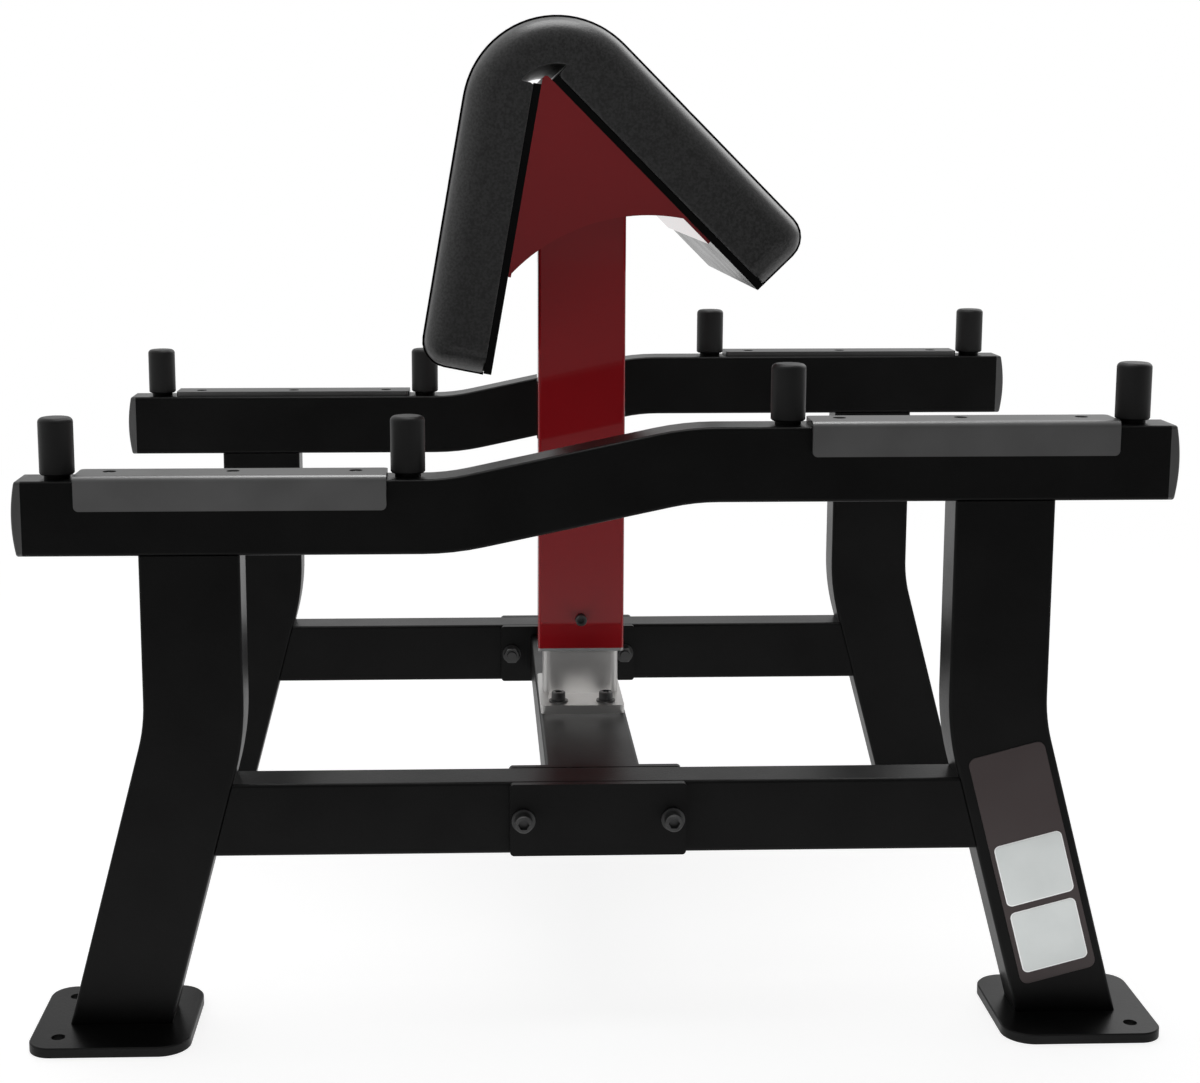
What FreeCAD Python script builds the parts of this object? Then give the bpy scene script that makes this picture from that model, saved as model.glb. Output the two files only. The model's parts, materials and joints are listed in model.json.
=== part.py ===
import FreeCAD, Part
import os
from math import atan, cos, hypot, radians, degrees, sin, sqrt, tan

os.makedirs("parts", exist_ok=True)

# Preacher curl bench, millimetres.
# Origin on the floor at the middle of the footprint, +X from the low bar rests (front) to the high
# ones (rear), +Y to the left of a person who stands at the front and looks along +X, +Z up.

# Tube stock
wall = 3.0
tube_width = 50.0
rail_height = 75.0
leg_depth = 100.0
tube_inside_corner = 0.5

# Side frames
rail_spacing = 684.0
rail_length = 1134.0
rail_front_bottom = 497.0
rail_rise = 50.5
crank_front_x = -148.0
crank_rear_x = 91.0
crank_radius = 260.0
leg_end_distance = 162.5
leg_bend_z = 317.0
leg_angle = 15.0
leg_bend_radius = 230.0
stretcher_bottom = 187.5

# Feet
foot_thickness = 10.0
foot_overhang = 6.0
foot_length = 161.0
foot_width = 154.0
foot_outset = 4.0
foot_outer_corner = 24.0
foot_inner_corner = 30.0
foot_chamfer = 1.2
anchor_hole_radius = 7.0
anchor_inset = 28.0
anchor_spacing = 100.0

# Rail end caps
cap_flange = 10.0
cap_crown_radius = 180.0
cap_edge = 2.5
cap_plug_depth = 16.0
cap_plug_wall = 2.5

# Bar rest plates
rest_peg_gap = 3.25
rest_thickness = 6.0
rest_top_width = 42.0
rest_skirt = 29.0
rest_outer_bend = 6.5
rest_corner = 5.0
rest_screw_inset = 31.0

# Pegs
peg_inner_x = 189.0
peg_end_distance = 32.0
pin_radius = 13.0
sleeve_radius = 17.25
sleeve_gap = 3.8
sleeve_height = 56.7
sleeve_top_edge = 5.0
sleeve_bottom_edge = 1.5
sleeve_roof = 4.0

# Cross beam with its end flanges and clamp plates
beam_width = 100.0
beam_height = 50.0
clamp_length = 178.0
clamp_thickness = 8.0
clamp_corner = 4.0
clamp_bolt_x = 75.5

# Post base
base_length = 147.0
base_width = 96.0
base_thickness = 10.0
base_corner = 5.0
base_screw_x = 27.5
base_screw_y = 55.5
stub_play = 3.0
stub_wall = 5.0
stub_corner = 4.0
stub_height = 170.0
collar_lip = 3.4
collar_liner_height = 45.0
post_bottom = 315.5
post_screw_z = 350.0

# Arm pad, its boards and the saddle that carries them
apex_x = -50.3
apex_z = 970.5
front_arm_angle = 10.0
rear_arm_angle = 45.0
arm_end = 315.7
arm_start = 13.0
pad_width = 457.0
foam_thickness = 69.0
pad_top_radius = 97.0
pad_hollow_radius = 49.0
pad_end_corner = 26.0
pad_side_edge = 16.0
board_thickness = 8.0
board_inset = 3.0
gusset_edge = 212.5
gusset_thickness = 4.0
gusset_arc_radius = 197.0
gusset_tip_radius = 4.0
flange_thickness = 3.0
rear_flange_end = 245.0
pad_screw_rows = (90.0, 185.0)
pad_screw_y = 150.0

# Fasteners: thread diameter, head diameter, head height, socket width, washer diameter and thickness
m12 = dict(thread=12.0, head=18.0, height=12.0, socket=10.0, washer=24.0, washer_height=2.5)
m10 = dict(thread=10.0, head=16.0, height=10.0, socket=8.0, washer=22.0, washer_height=2.0)
m8 = dict(thread=8.0, head=13.0, height=8.0, socket=6.0)
nut_width = 19.0
nut_height = 10.0
nut_chamfer = 1.6
bolt_overhang = 3.0
rest_screw_thread = 6.0
rest_screw_head = 12.0
rest_screw_length = 14.0
rest_screw_sink = 1.8
rest_screw_socket = 4.0
rest_screw_socket_depth = 2.0
head_edge = 1.0
hole_clearance = 0.5
gap = 0.3
overshoot = 1.0

# Derived sizes
rail_y = rail_spacing / 2
rail_end = rail_length / 2
tube_corner = wall + tube_inside_corner
leg_x = rail_end - leg_end_distance
foot_outer_x = rail_end + foot_overhang
anchor_x = foot_outer_x - anchor_inset
peg_outer_x = rail_end - peg_end_distance
rest_middle_x = (peg_inner_x + peg_outer_x) / 2
rest_length = peg_outer_x - peg_inner_x - 2 * (sleeve_radius + rest_peg_gap)
rest_inner_bend = tube_corner - gap
rest_screw_pitch = rest_length / 2 - rest_screw_inset
rest_screw_cone = (rest_screw_head - rest_screw_thread) / 2
rail_front_top = rail_front_bottom + rail_height
rail_rear_top = rail_front_top + rail_rise
crank_angle = degrees(atan(rail_rise / (crank_rear_x - crank_front_x)))
stretcher_top = stretcher_bottom + rail_height
stretcher_mid = stretcher_bottom + rail_height / 2
beam_top = stretcher_mid + beam_height / 2
inner_face_y = rail_y - tube_width / 2
outer_face_y = rail_y + tube_width / 2
beam_end_y = inner_face_y - clamp_thickness
base_top = beam_top + base_thickness
stub_width = leg_depth - 2 * (wall + stub_play)
stub_depth = tube_width - 2 * (wall + stub_play)
board_half = pad_width / 2 - board_inset
flange_half = board_half - gusset_thickness
half_apex = radians((front_arm_angle + rear_arm_angle) / 2)

X = FreeCAD.Vector(1, 0, 0)
Y = FreeCAD.Vector(0, 1, 0)
Z = FreeCAD.Vector(0, 0, 1)
sides = (("right", -1), ("left", 1))
ends = (("front", -1), ("rear", 1))


def vec(x, y, z):
    return FreeCAD.Vector(x, y, z)


def cornered_face(x0, x1, y0, y1, radii):
    """Flat face in XY with one corner radius each: low-low, high-low, high-high, low-high."""
    corners = [(x0, y0, 1, 1), (x1, y0, -1, 1), (x1, y1, -1, -1), (x0, y1, 1, -1)]
    turn = 1 - sqrt(0.5)
    arcs = []
    for (x, y, sx, sy), r, along_x_last in zip(corners, radii, (True, False, True, False)):
        on_x = vec(x + sx * r, y, 0)
        on_y = vec(x, y + sy * r, 0)
        middle = vec(x + sx * r * turn, y + sy * r * turn, 0)
        first, last = (on_y, on_x) if along_x_last else (on_x, on_y)
        arcs.append((first, middle, last))
    edges = []
    for i, (first, middle, last) in enumerate(arcs):
        edges.append(Part.Arc(first, middle, last).toShape())
        edges.append(Part.makeLine(last, arcs[(i + 1) % 4][0]))
    return Part.Face(Part.Wire(edges))


def rounded_face(width, height, corner):
    return cornered_face(-width / 2, width / 2, -height / 2, height / 2, (corner,) * 4)


def tube_face(width, height, thickness, corner):
    """Tube section in XY: rounded rectangle with an even wall."""
    inside = rounded_face(width - 2 * thickness, height - 2 * thickness, corner - thickness)
    return rounded_face(width, height, corner).cut(inside).Faces[0]


def upright_outline(points):
    """Face in the XZ plane from a list of (x, z) corners."""
    return Part.Face(Part.makePolygon([vec(x, 0, z) for x, z in points + points[:1]]))


def prism(face, half_depth, middle=0.0):
    """XZ face made into a solid that reaches half_depth to both sides of Y = middle."""
    solid = face.extrude(Y * (2 * half_depth))
    solid.translate(Y * (middle - half_depth))
    return solid


def bore(radius, start, axis, length):
    return Part.makeCylinder(radius, length, start, axis)


def hole(radius, face_point, axis, depth):
    """Cutter for a through hole: it starts before the face and ends past the depth."""
    return bore(radius, face_point - axis * overshoot, axis, depth + 2 * overshoot)


def moved(shape, offset):
    copy = shape.copy()
    copy.translate(offset)
    return copy


def placed(shape, origin, turn):
    copy = shape.copy()
    copy.Placement = FreeCAD.Placement(origin, turn).multiply(copy.Placement)
    return copy


def group(solids):
    return Part.makeCompound(solids)


def bent_tube(section, start, heading, steps):
    """Section carried along runs and bends in an upright plane; headings in degrees above +X."""
    pieces = []
    point = start
    for kind, *values in steps:
        ahead = vec(cos(radians(heading)), 0, sin(radians(heading)))
        up = vec(-ahead.z, 0, ahead.x)
        face = section.copy()
        face.Placement = FreeCAD.Placement(point, FreeCAD.Rotation(Y, up, ahead, "ZYX"))
        if kind == "run":
            pieces.append(face.extrude(ahead * values[0]))
            point = point + ahead * values[0]
        else:
            radius, angle = values
            side = 1 if angle > 0 else -1
            centre = point + up * (side * radius)
            pieces.append(face.revolve(centre, Y * -side, abs(angle)))
            point = centre + FreeCAD.Rotation(Y * -side, abs(angle)).multVec(point - centre)
            heading += angle
    return pieces[0].multiFuse(pieces[1:]).removeSplitter()


def cap_screw(size, length):
    """Socket head screw along -Z, the head's seat at Z = 0."""
    head = Part.makeCylinder(size["head"] / 2, size["height"])
    top_edges = [e for e in head.Edges if len(e.Vertexes) == 1 and e.Vertexes[0].Z > size["height"] / 2]
    head = head.makeChamfer(head_edge, top_edges)
    shank = bore(size["thread"] / 2, vec(0, 0, -length), Z, length)
    socket = hexagon(size["socket"]).extrude(Z * size["height"])
    socket.translate(Z * (size["height"] / 2))
    return head.fuse(shank).cut(socket).removeSplitter()


def hexagon(width):
    """Hexagon face in XY, measured across its flats."""
    r = width / sqrt(3)
    ring = [vec(r * cos(radians(60 * i)), r * sin(radians(60 * i)), 0) for i in range(7)]
    return Part.Face(Part.makePolygon(ring))


def washer(size):
    """Washer on the +Z side of Z = 0."""
    disc = Part.makeCylinder(size["washer"] / 2, size["washer_height"])
    return disc.cut(hole(size["thread"] / 2 + hole_clearance, vec(0, 0, 0), Z, size["washer_height"]))


def hex_nut():
    """Nut on the +Z side of Z = 0 with its outer corners turned off."""
    body = hexagon(nut_width).extrude(Z * nut_height)
    corner = nut_width / sqrt(3)
    limit = Part.makeCylinder(corner, nut_height)
    top = [e for e in limit.Edges if len(e.Vertexes) == 1 and e.Vertexes[0].Z > nut_height / 2]
    body = body.common(limit.makeChamfer(nut_chamfer, top))
    return body.cut(hole(m12["thread"] / 2 + gap, vec(0, 0, 0), Z, nut_height))


def rail_top(end_sign):
    return rail_front_top if end_sign < 0 else rail_rear_top


def rail_bottom(end_sign):
    return rail_top(end_sign) - rail_height


def rest_screw_places(end_sign, side_sign):
    """Screw axes on the top of one bar rest."""
    middle = vec(end_sign * rest_middle_x, side_sign * rail_y, rail_top(end_sign) + rest_thickness)
    return [middle + X * (step * rest_screw_pitch) for step in (-1, 0, 1)]


def rack_rail(side_sign):
    """Cranked top tube; the front run is lower than the rear run."""
    half = radians(crank_angle / 2)
    tangent = crank_radius * tan(half)
    slope = hypot(crank_rear_x - crank_front_x, rail_rise) - 2 * tangent
    steps = [
        ("run", crank_front_x + rail_end - tangent),
        ("bend", crank_radius, crank_angle),
        ("run", slope),
        ("bend", crank_radius, -crank_angle),
        ("run", rail_end - crank_rear_x - tangent),
    ]
    start = vec(-rail_end, side_sign * rail_y, rail_front_bottom + rail_height / 2)
    rail = bent_tube(tube_face(tube_width, rail_height, wall, tube_corner), start, 0, steps)
    holes = []
    for _, end_sign in ends:
        for place in rest_screw_places(end_sign, side_sign):
            holes.append(hole(rest_screw_thread / 2 + gap, place - Z * rest_thickness, Z * -1, wall))
    return rail.cut(holes)


def leg_centre_x(z):
    """Distance of the splayed lower leg's centre line from X = 0."""
    return leg_x + (leg_bend_z - z) * tan(radians(leg_angle))


def leg(end_sign, side_sign):
    """Upright tube with one bend, its foot end cut level."""
    tangent = leg_bend_radius * tan(radians(leg_angle / 2))
    top = rail_bottom(end_sign)
    lower = leg_bend_z / cos(radians(leg_angle)) - tangent
    steps = [
        ("run", top - leg_bend_z - tangent),
        ("bend", leg_bend_radius, end_sign * leg_angle),
        ("run", lower + leg_depth),
    ]
    start = vec(end_sign * leg_x, side_sign * rail_y, top)
    tube = bent_tube(tube_face(tube_width, leg_depth, wall, tube_corner), start, -90, steps)
    keep = Part.makeBox(2 * foot_outer_x, rail_spacing * 2, top - foot_thickness)
    keep.translate(vec(-foot_outer_x, -rail_spacing, foot_thickness))
    return tube.common(keep)


def foot(end_sign, side_sign):
    """Floor plate with its top edge chamfered and two anchor holes on the outer side."""
    y = side_sign * (rail_y + foot_outset)
    outer, inner = foot_outer_corner, foot_inner_corner
    radii = (outer, inner, inner, outer) if end_sign < 0 else (inner, outer, outer, inner)
    far = end_sign * foot_outer_x
    near = far - end_sign * foot_length
    face = cornered_face(min(far, near), max(far, near), y - foot_width / 2, y + foot_width / 2, radii)
    plate = face.extrude(Z * foot_thickness)
    rim = [e for e in plate.Edges if all(v.Z > foot_thickness / 2 for v in e.Vertexes)]
    plate = plate.makeChamfer(foot_chamfer, rim)
    for step in (-1, 1):
        centre = vec(end_sign * anchor_x, y + step * anchor_spacing / 2, 0)
        plate = plate.cut(hole(anchor_hole_radius, centre, Z, foot_thickness))
    return plate


def clamp_holes(radius):
    """Bores for all clamp bolts, through both side frames."""
    length = rail_spacing + 4 * tube_width
    return [bore(radius, vec(s * clamp_bolt_x, -length / 2, stretcher_mid), Y, length) for s in (-1, 1)]


def stretcher(side_sign):
    """Low tube between the legs, its ends mitred to their slope."""
    inset = leg_depth / 2 / cos(radians(leg_angle))
    low = leg_centre_x(stretcher_bottom) - inset
    high = leg_centre_x(stretcher_top) - inset
    section = tube_face(tube_width, rail_height, wall, tube_corner)
    start = vec(-low, side_sign * rail_y, stretcher_mid)
    tube = bent_tube(section, start, 0, [("run", 2 * low)])
    ends_cut = upright_outline([(-low, stretcher_bottom), (low, stretcher_bottom),
                                (high, stretcher_top), (-high, stretcher_top)])
    tube = tube.common(prism(ends_cut, tube_width, side_sign * rail_y))
    return tube.cut(clamp_holes(m12["thread"] / 2 + hole_clearance))


def rail_cap(end_sign, side_sign):
    """End cap: crowned rim outside, hollow plug inside the tube."""
    rim = rounded_face(tube_width, rail_height, tube_corner).extrude(Z * cap_flange)
    crown = bore(cap_crown_radius, vec(-tube_width, 0, cap_flange - cap_crown_radius), X, 2 * tube_width)
    rim = rim.common(crown)
    outer_edges = [e for e in rim.Edges if all(v.Z > cap_edge for v in e.Vertexes) and e.Length > gap]
    rim = rim.makeFillet(cap_edge, outer_edges)
    fit = wall + gap
    plug_corner = tube_corner - wall + cap_plug_wall
    plug = tube_face(tube_width - 2 * fit, rail_height - 2 * fit, cap_plug_wall, plug_corner)
    cap = rim.fuse(plug.extrude(Z * -cap_plug_depth))
    middle = rail_bottom(end_sign) + rail_height / 2
    turn = FreeCAD.Rotation(Y, Z * end_sign, X * end_sign, "ZYX")
    cap.Placement = FreeCAD.Placement(vec(end_sign * rail_end, side_sign * rail_y, middle), turn)
    return cap


def bar_rest(end_sign, side_sign):
    """Wear plate bent over the rail's outer top edge, with three stepped holes for sunk screws."""
    t = rest_thickness
    a, b = rest_inner_bend, rest_outer_bend
    w, d = rest_top_width, rest_skirt
    turn = 1 - sqrt(0.5)
    points = [vec(0, w, 0), vec(0, w, t), vec(0, b - t, t), vec(0, -t, t - b), vec(0, -t, -d), vec(0, 0, -d),
              vec(0, 0, -a), vec(0, a, 0)]
    outside = Part.Arc(points[2], vec(0, b * turn - t, t - b * turn), points[3]).toShape()
    inside = Part.Arc(points[6], vec(0, a * turn, -a * turn), points[7]).toShape()
    lines = [Part.makeLine(points[i], points[i + 1]) for i in (0, 1, 3, 4, 5)]
    edges = lines[:2] + [outside] + lines[2:] + [inside, Part.makeLine(points[7], points[0])]
    plate = Part.Face(Part.Wire(edges)).extrude(X * rest_length)
    short_edges = [e for e in plate.Edges if abs(e.Length - t) < gap]
    skirt_corners = [e for e in short_edges if all(v.Z < gap - d for v in e.Vertexes)]
    top_corners = [e for e in short_edges if all(v.Y > w - gap for v in e.Vertexes)]
    plate = plate.makeFillet(rest_corner, skirt_corners + top_corners)
    plate.translate(X * (-rest_length / 2))
    if side_sign > 0:
        plate.rotate(vec(0, 0, 0), Z, 180)
    plate.translate(vec(end_sign * rest_middle_x, side_sign * outer_face_y, rail_top(end_sign)))
    rim = rest_screw_head / 2 + 2 * gap
    for place in rest_screw_places(end_sign, side_sign):
        shank = hole(rest_screw_thread / 2 + gap, place, Z * -1, t)
        well = bore(rim, place, Z * -1, rest_screw_sink)
        seat = place - Z * rest_screw_sink
        sink = Part.makeCone(rim, rim - rest_screw_cone, rest_screw_cone, seat, Z * -1)
        plate = plate.cut([shank, well, sink])
    return plate


def bar_rest_screws():
    """Countersunk screws of all four bar rests, their heads below the plates' tops."""
    radius = rest_screw_thread / 2
    head = Part.makeCone(rest_screw_head / 2, radius, rest_screw_cone, vec(0, 0, 0), Z * -1)
    shank = bore(radius, vec(0, 0, -rest_screw_cone), Z * -1, rest_screw_length - rest_screw_cone)
    socket = hexagon(rest_screw_socket).extrude(Z * -rest_screw_socket_depth)
    screw = moved(head.fuse(shank).cut(socket).removeSplitter(), Z * (-gap - rest_screw_sink))
    places = [p for _, side in sides for _, end in ends for p in rest_screw_places(end, side)]
    return group([moved(screw, p) for p in places])


def peg_places(side_sign):
    """Name and rail-top seat of each peg on one rail."""
    rows = [("front", "outer", -peg_outer_x), ("front", "inner", -peg_inner_x),
            ("rear", "inner", peg_inner_x), ("rear", "outer", peg_outer_x)]
    height = {"front": rail_front_top, "rear": rail_rear_top}
    return [(end + "_" + kind, vec(x, side_sign * rail_y, height[end])) for end, kind, x in rows]


def peg_pins(side_sign):
    length = sleeve_gap + sleeve_height - sleeve_roof - gap
    return group([bore(pin_radius, place, Z, length) for _, place in peg_places(side_sign)])


def peg_sleeve(seat):
    """Closed sleeve pushed over a pin, rounded above and chamfered below."""
    r, h = sleeve_radius, sleeve_height
    e, c = sleeve_top_edge, sleeve_bottom_edge
    hole = pin_radius + gap
    turn = 1 - sqrt(0.5)
    shoulder = Part.Arc(vec(r, 0, h - e), vec(r - e * turn, 0, h - e * turn), vec(r - e, 0, h)).toShape()
    corners = [vec(r - e, 0, h), vec(0, 0, h), vec(0, 0, h - sleeve_roof), vec(hole, 0, h - sleeve_roof),
               vec(hole, 0, 0), vec(r - c, 0, 0), vec(r, 0, c), vec(r, 0, h - e)]
    lines = [Part.makeLine(a, b) for a, b in zip(corners, corners[1:])]
    sleeve = Part.Face(Part.Wire([shoulder] + lines)).revolve(vec(0, 0, 0), Z, 360)
    return moved(sleeve, seat + Z * sleeve_gap)


def clamp_plate(y_middle):
    """Upright plate on one face of a stretcher, with two bolt holes."""
    plate = rounded_face(clamp_length, rail_height, clamp_corner).extrude(Z * clamp_thickness)
    plate.rotate(vec(0, 0, 0), X, 90)
    plate.translate(vec(0, y_middle + clamp_thickness / 2, stretcher_mid))
    return plate.cut(clamp_holes(m12["thread"] / 2 + hole_clearance))


def clamp_hardware():
    """Bolts, washers and nuts that draw the clamp plates together."""
    grip = tube_width + 2 * clamp_thickness + 2 * m12["washer_height"] + nut_height + bolt_overhang
    outer = outer_face_y + clamp_thickness
    inner = beam_end_y
    lift = Z * m12["washer_height"]
    bolts, washers, nuts = [], [], []
    for _, side_sign in sides:
        for x in (-clamp_bolt_x, clamp_bolt_x):
            outer_seat = vec(x, side_sign * outer, stretcher_mid)
            inner_seat = vec(x, side_sign * inner, stretcher_mid)
            outward = FreeCAD.Rotation(Z, Y * side_sign)
            inward = FreeCAD.Rotation(Z, Y * -side_sign)
            bolts.append(placed(moved(cap_screw(m12, grip), lift), outer_seat, outward))
            washers.append(placed(washer(m12), outer_seat, outward))
            washers.append(placed(washer(m12), inner_seat, inward))
            nuts.append(placed(moved(hex_nut(), lift), inner_seat, inward))
    return group(bolts), group(washers), group(nuts)


def base_screw_places():
    return [vec(x * base_screw_x, y * base_screw_y, base_top) for x in (-1, 1) for y in (-1, 1)]


def cross_beam():
    """Flat tube between the side frames, tapped for the post base screws."""
    beam = tube_face(beam_width, beam_height, wall, tube_corner).extrude(Z * (2 * beam_end_y))
    beam.rotate(vec(0, 0, 0), X, 90)
    beam.translate(vec(0, beam_end_y, stretcher_mid))
    depth = base_thickness + wall
    return beam.cut([hole(m10["thread"] / 2 + gap, p, Z * -1, depth) for p in base_screw_places()])


def post_base_plate():
    plate = rounded_face(base_width, base_length, base_corner).extrude(Z * base_thickness)
    plate.translate(Z * beam_top)
    radius = m10["thread"] / 2 + hole_clearance
    return plate.cut([hole(radius, p, Z * -1, base_thickness) for p in base_screw_places()])


def base_hardware():
    """Screws and washers of the post base."""
    length = m10["washer_height"] + base_thickness + wall
    screw = moved(cap_screw(m10, length), Z * m10["washer_height"])
    places = base_screw_places()
    return group([moved(screw, p) for p in places]), group([moved(washer(m10), p) for p in places])


def post_screw_hole():
    """Bore through the near wall of the post and what stands inside it."""
    return bore(m8["thread"] / 2 + gap, vec(0, -tube_width, post_screw_z), Y, tube_width)


def post_stub():
    """Upright tube on the base plate, inside the post."""
    stub = tube_face(stub_width, stub_depth, stub_wall, stub_corner + stub_wall).extrude(Z * stub_height)
    stub.translate(Z * base_top)
    return stub.cut(post_screw_hole())


def post_collar():
    """Bush between stub and post, with a lip under the post's end."""
    fit = wall + gap
    hollow = rounded_face(stub_width + 2 * gap, stub_depth + 2 * gap, stub_corner + stub_wall + gap)
    lip = rounded_face(leg_depth, tube_width, tube_corner).extrude(Z * collar_lip)
    liner = rounded_face(leg_depth - 2 * fit, tube_width - 2 * fit, tube_corner - wall)
    liner = liner.extrude(Z * (collar_liner_height + collar_lip))
    inside = hollow.extrude(Z * (collar_liner_height + 2 * collar_lip))
    collar = lip.fuse(liner).cut(inside)
    collar.translate(Z * (post_bottom - collar_lip))
    return collar.cut(post_screw_hole())


def post_screw():
    depth = (tube_width - stub_depth) / 2 + stub_wall
    screw = cap_screw(m8, depth)
    screw.rotate(vec(0, 0, 0), X, 90)
    screw.translate(vec(0, -tube_width / 2, post_screw_z))
    return screw


def arm_point(arm, along, out):
    """Point (x, z) of a pad arm: along it from the apex, and outward from the boards' inner face."""
    if arm == "front":
        a = radians(front_arm_angle)
        ahead, outward = (-sin(a), -cos(a)), (-cos(a), sin(a))
    else:
        a = radians(rear_arm_angle)
        ahead, outward = (cos(a), -sin(a)), (sin(a), cos(a))
    return apex_x + ahead[0] * along + outward[0] * out, apex_z + ahead[1] * along + outward[1] * out


def arm_vec(arm, along, out):
    x, z = arm_point(arm, along, out)
    return vec(x, 0, z)


def above(centre, radius):
    """Point of a circle on the line that halves the apex angle, on the apex side."""
    tilt = radians(rear_arm_angle - front_arm_angle) / 2
    return vec(centre.x - radius * sin(tilt), 0, centre.z + radius * cos(tilt))


def pad_post():
    """Upright tube whose top is mitred to the saddle's two flanges."""
    tube = tube_face(leg_depth, tube_width, wall, tube_corner).extrude(Z * (apex_z - post_bottom))
    tube.translate(Z * post_bottom)
    meet = flange_thickness / tan(half_apex)
    sky = apex_z + leg_depth
    above_flanges = upright_outline([arm_point("front", meet, -flange_thickness),
                                     arm_point("rear", arm_end, -flange_thickness), (foot_outer_x, sky),
                                     (-foot_outer_x, sky), arm_point("front", arm_end, -flange_thickness)])
    return tube.cut(prism(above_flanges, tube_width)).cut(post_screw_hole())


def gusset(side_sign):
    """Side plate of the saddle: rounded tip, straight flanks, hollowed lower edge."""
    blunt = gusset_tip_radius / tan(half_apex)
    tip_centre = above(vec(apex_x, 0, apex_z), -gusset_tip_radius / sin(half_apex))
    chord = gusset_edge * sin(half_apex)
    rise = gusset_arc_radius - sqrt(gusset_arc_radius ** 2 - chord ** 2)
    chord_middle = (arm_vec("front", gusset_edge, 0) + arm_vec("rear", gusset_edge, 0)) * 0.5
    front_low, rear_low = arm_vec("front", gusset_edge, 0), arm_vec("rear", gusset_edge, 0)
    front_high, rear_high = arm_vec("front", blunt, 0), arm_vec("rear", blunt, 0)
    edges = [
        Part.makeLine(front_low, front_high),
        Part.Arc(front_high, above(tip_centre, gusset_tip_radius), rear_high).toShape(),
        Part.makeLine(rear_high, rear_low),
        Part.Arc(rear_low, above(chord_middle, rise), front_low).toShape(),
    ]
    y = side_sign * (board_half - gusset_thickness / 2)
    return prism(Part.Face(Part.Wire(edges)), gusset_thickness / 2, y)


def pad_screw_axes(arm):
    """Screw seats under a flange with the outward direction of the arm."""
    seats = [arm_vec(arm, row, -flange_thickness) + Y * (side * pad_screw_y)
             for row in pad_screw_rows for _, side in sides]
    return seats, arm_vec(arm, 0, 1) - arm_vec(arm, 0, 0)


def arm_slab(arm, start, end, low, high, half_width, hole_radius):
    """Flat plate along a pad arm with the pad screw holes."""
    corners = [arm_point(arm, start, low), arm_point(arm, end, low),
               arm_point(arm, end, high), arm_point(arm, start, high)]
    slab = prism(upright_outline(corners), half_width)
    seats, outward = pad_screw_axes(arm)
    depth = flange_thickness + board_thickness
    return slab.cut([hole(hole_radius, seat, outward, depth) for seat in seats])


def pad_flange(arm):
    start = flange_thickness / tan(half_apex)
    end = gusset_edge if arm == "front" else rear_flange_end
    return arm_slab(arm, start, end, -flange_thickness, 0, flange_half, m8["thread"] / 2 + hole_clearance)


def pad_board(arm):
    return arm_slab(arm, arm_start, arm_end, 0, board_thickness, board_half, m8["thread"] / 2 + gap)


def pad_screws():
    """Screws that hold the boards to the saddle's flanges."""
    screws = []
    length = flange_thickness + board_thickness - gap
    for arm, _ in ends:
        seats, outward = pad_screw_axes(arm)
        for seat in seats:
            screws.append(placed(cap_screw(m8, length), seat, FreeCAD.Rotation(Z * -1, outward)))
    return group(screws)


def arm_pad():
    """Cushion folded over the apex: two thick arms joined by a round, with a hollow inside the fold."""
    inner = board_thickness
    outer = board_thickness + foam_thickness
    c = pad_end_corner
    below = pad_top_radius - outer
    centre_along = below / tan(half_apex)
    centre = arm_vec("front", centre_along, -below)
    lift = sqrt(pad_hollow_radius ** 2 - (centre_along - arm_start) ** 2) - below
    turn = c * (1 - sqrt(0.5))

    def arm_side(arm):
        """Points from the hollow down the inside, round the end and up to the top round."""
        places = [(arm_start, lift), (arm_start, inner), (arm_end, inner), (arm_end, outer - c),
                  (arm_end - turn, outer - turn), (arm_end - c, outer), (centre_along, outer)]
        return [arm_vec(arm, along, out) for along, out in places]

    front, rear = arm_side("front"), arm_side("rear")
    edges = []
    for p in (front, rear):
        edges += [Part.makeLine(p[0], p[1]), Part.makeLine(p[1], p[2]), Part.makeLine(p[2], p[3])]
        edges += [Part.Arc(p[3], p[4], p[5]).toShape(), Part.makeLine(p[5], p[6])]
    edges.append(Part.Arc(front[6], above(centre, pad_top_radius), rear[6]).toShape())
    edges.append(Part.Arc(front[0], above(centre, pad_hollow_radius), rear[0]).toShape())
    outline = Part.Wire(Part.sortEdges(edges)[0])
    pad = prism(Part.Face(outline), pad_width / 2)
    inside_corners = front[:3] + rear[:3]

    def on_inside(edge):
        """True for the edges around the boards and the hollow."""
        tips = [vec(v.X, 0, v.Z) for v in edge.Vertexes]
        return all(min((tip - corner).Length for corner in inside_corners) < gap for tip in tips)

    side_edges = [e for e in pad.Edges if abs(e.CenterOfMass.y) > pad_width / 2 - gap and not on_inside(e)]
    return pad.makeFillet(pad_side_edge, side_edges)


nodes = {}
for side, s in sides:
    nodes[side + "_rack_rail"] = rack_rail(s)
    nodes[side + "_stretcher"] = stretcher(s)
    nodes[side + "_clamp_plate"] = clamp_plate(s * (outer_face_y + clamp_thickness / 2))
    nodes[side + "_beam_flange"] = clamp_plate(s * (inner_face_y - clamp_thickness / 2))
    nodes[side + "_gusset"] = gusset(s)
    nodes[side + "_peg_pins"] = peg_pins(s)
    for name, seat in peg_places(s):
        nodes[side + "_" + name + "_peg_sleeve"] = peg_sleeve(seat)
    for end, e in ends:
        nodes[side + "_" + end + "_leg"] = leg(e, s)
        nodes[side + "_" + end + "_foot"] = foot(e, s)
        nodes[side + "_" + end + "_rail_cap"] = rail_cap(e, s)
        nodes[side + "_" + end + "_bar_rest"] = bar_rest(e, s)
for end, _ in ends:
    nodes[end + "_pad_flange"] = pad_flange(end)
    nodes[end + "_pad_board"] = pad_board(end)
nodes["bar_rest_screws"] = bar_rest_screws()
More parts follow.
